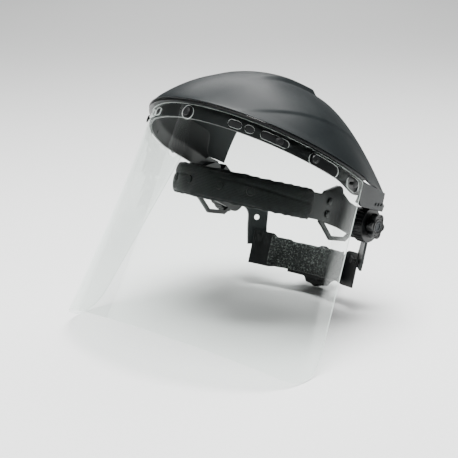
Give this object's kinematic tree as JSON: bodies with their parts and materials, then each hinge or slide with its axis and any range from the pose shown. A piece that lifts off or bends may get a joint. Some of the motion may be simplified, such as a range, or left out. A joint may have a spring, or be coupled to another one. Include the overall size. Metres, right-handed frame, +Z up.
{
  "type": "face shield",
  "caption": "Face shield: a bent clear window on a tilting crown, over an adjustable headband with a padded nape strap and a ratchet knob.",
  "frame": {"origin": "middle of the footprint, on the surface that the shield stands on", "axes": "+Z up, -Y to the wearer's front, +X to the wearer's left"},
  "size_m": [0.276, 0.3083, 0.2466],
  "materials": {
    "crown_plastic": "moulded black plastic with a fine grain",
    "frame_plastic": "moulded black plastic",
    "grey_plastic": "moulded dark grey plastic",
    "band_plastic": "flexible black polyethylene",
    "clear_window": "clear polycarbonate sheet with cut edges",
    "brow_cloth": "black knitted cloth over foam",
    "nape_foam": "dark grey open-cell foam",
    "steel": "plain steel"
  },
  "bodies": {
    "crown": {"crown_shell": "crown_plastic", "rim_frame": "frame_plastic", "ear_left": "grey_plastic", "ear_right": "grey_plastic", "window": "clear_window", "window_stud_front": "frame_plastic", "window_stud_left_1": "frame_plastic", "window_stud_left_2": "frame_plastic", "window_stud_left_3": "frame_plastic", "window_stud_right_1": "frame_plastic", "window_stud_right_2": "frame_plastic", "window_stud_right_3": "frame_plastic"},
    "headband": {"headband": "band_plastic", "sweatband": "brow_cloth", "side_bracket_left": "band_plastic", "side_bracket_right": "band_plastic", "pivot_bolt_left": "steel", "pivot_bolt_right": "steel", "friction_washer_left": "band_plastic", "friction_washer_right": "band_plastic", "upper_rivet_left": "band_plastic", "upper_rivet_right": "band_plastic", "lower_rivet_left": "band_plastic", "lower_rivet_right": "band_plastic", "sweatband_snap_front_left": "band_plastic", "sweatband_snap_front_right": "band_plastic", "sweatband_snap_side_left": "band_plastic", "sweatband_snap_side_right": "band_plastic"},
    "left_knob": {"tilt_knob_left": "frame_plastic", "knob_nut_left": "steel"},
    "right_knob": {"tilt_knob_right": "frame_plastic", "knob_nut_right": "steel"},
    "nape": {"nape_arm_left": "grey_plastic", "nape_arm_right": "grey_plastic", "nape_pin_left": "band_plastic", "nape_pin_right": "band_plastic", "nape_strap_left": "band_plastic", "nape_strap_right": "band_plastic", "nape_pad": "nape_foam", "ratchet_housing": "frame_plastic", "ratchet_cover": "frame_plastic", "pawl_spring": "steel"},
    "ratchet": {"ratchet_knob": "frame_plastic", "ratchet_wheel": "band_plastic", "ratchet_pinion": "band_plastic", "knob_screw": "steel"}
  },
  "joints": [
    {"name": "crown_tilt", "type": "hinge", "parent": "headband", "child": "crown", "pos_m": [0, 0.0917, 0.097], "axis": [-1, 0, 0], "range_deg": [-20, 65]},
    {"name": "left_knob_turn", "type": "hinge", "parent": "headband", "child": "left_knob", "pos_m": [0, 0.0917, 0.097], "axis": [1, 0, 0], "range_deg": [-180, 180]},
    {"name": "right_knob_turn", "type": "hinge", "parent": "headband", "child": "right_knob", "pos_m": [0, 0.0917, 0.097], "axis": [1, 0, 0], "range_deg": [-180, 180]},
    {"name": "nape_tilt", "type": "hinge", "parent": "headband", "child": "nape", "pos_m": [0, 0.0917, 0.097], "axis": [-1, 0, 0], "range_deg": [-12, 12]},
    {"name": "ratchet_turn", "type": "hinge", "parent": "nape", "child": "ratchet", "pos_m": [0, 0.12423, 0.02869], "axis": [0, 0.9455, -0.3256], "continuous": true}
  ]
}
